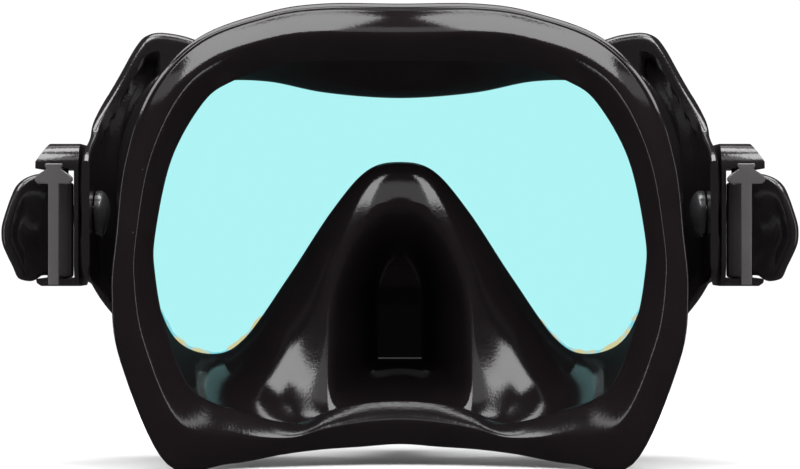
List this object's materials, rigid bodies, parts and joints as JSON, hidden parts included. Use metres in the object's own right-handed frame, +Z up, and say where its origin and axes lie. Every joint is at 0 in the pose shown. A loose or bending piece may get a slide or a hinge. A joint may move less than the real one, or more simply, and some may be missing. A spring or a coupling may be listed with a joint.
{
  "type": "diving mask",
  "caption": "Single-lens diving mask: tinted lens in a frame with side arms, silicone face skirt with nose pocket, swivelling strap buckles with rollers and release levers.",
  "frame": {"origin": "centre of the bridge of the lens, on its front face", "axes": "+Y forwards out of the lens, +X to the wearer's right, +Z up"},
  "size_m": [0.212, 0.0853, 0.1204],
  "materials": {
    "lens_glass": "polished, cyan tint",
    "frame_plastic": "gloss",
    "skirt_silicone": "glossy moulded silicone",
    "buckle_plastic": "gloss",
    "guide_grey": "satin",
    "pin_steel": "drawn wire",
    "washer_nylon": "matte"
  },
  "bodies": {
    "mask": {"skirt": "skirt_silicone", "lens": "lens_glass", "lens_bezel": "frame_plastic", "front_frame": "frame_plastic", "pivot_pin_left": "buckle_plastic", "pivot_pin_right": "buckle_plastic", "pivot_washer_left": "washer_nylon", "pivot_washer_right": "washer_nylon", "pivot_clip_left": "pin_steel", "pivot_clip_right": "pin_steel"},
    "buckle_right": {"buckle_body_right": "buckle_plastic", "strap_guide_right": "guide_grey", "roller_pin_right": "pin_steel", "lever_pin_right": "pin_steel", "lever_spring_right": "pin_steel"},
    "buckle_left": {"buckle_body_left": "buckle_plastic", "strap_guide_left": "guide_grey", "roller_pin_left": "pin_steel", "lever_pin_left": "pin_steel", "lever_spring_left": "pin_steel"},
    "roller_right": {"strap_roller_right": "buckle_plastic"},
    "roller_left": {"strap_roller_left": "buckle_plastic"},
    "lever_right": {"release_lever_right": "buckle_plastic"},
    "lever_left": {"release_lever_left": "buckle_plastic"}
  },
  "joints": [
    {"name": "buckle_swivel_right", "type": "hinge", "parent": "mask", "child": "buckle_right", "pos_m": [0.0834, -0.023, -0.02278], "axis": [1, 0, 0], "range_deg": [-25, 25]},
    {"name": "buckle_swivel_left", "type": "hinge", "parent": "mask", "child": "buckle_left", "pos_m": [-0.0834, -0.023, -0.02278], "axis": [1, 0, 0], "range_deg": [-25, 25]},
    {"name": "roller_spin_right", "type": "hinge", "parent": "buckle_right", "child": "roller_right", "pos_m": [0.0876, -0.031, -0.02808], "axis": [0, 0, 1], "continuous": true},
    {"name": "roller_spin_left", "type": "hinge", "parent": "buckle_left", "child": "roller_left", "pos_m": [-0.0876, -0.031, -0.02808], "axis": [0, 0, 1], "continuous": true},
    {"name": "lever_release_right", "type": "hinge", "parent": "buckle_right", "child": "lever_right", "pos_m": [0.092, -0.013, -0.02808], "axis": [0, 0, 1], "range_deg": [-15, 0], "stiffness_Nm_per_rad": 0.01, "springref_deg": 17.19},
    {"name": "lever_release_left", "type": "hinge", "parent": "buckle_left", "child": "lever_left", "pos_m": [-0.092, -0.013, -0.02808], "axis": [0, 0, 1], "range_deg": [0, 15], "stiffness_Nm_per_rad": 0.01, "springref_deg": -17.19}
  ]
}
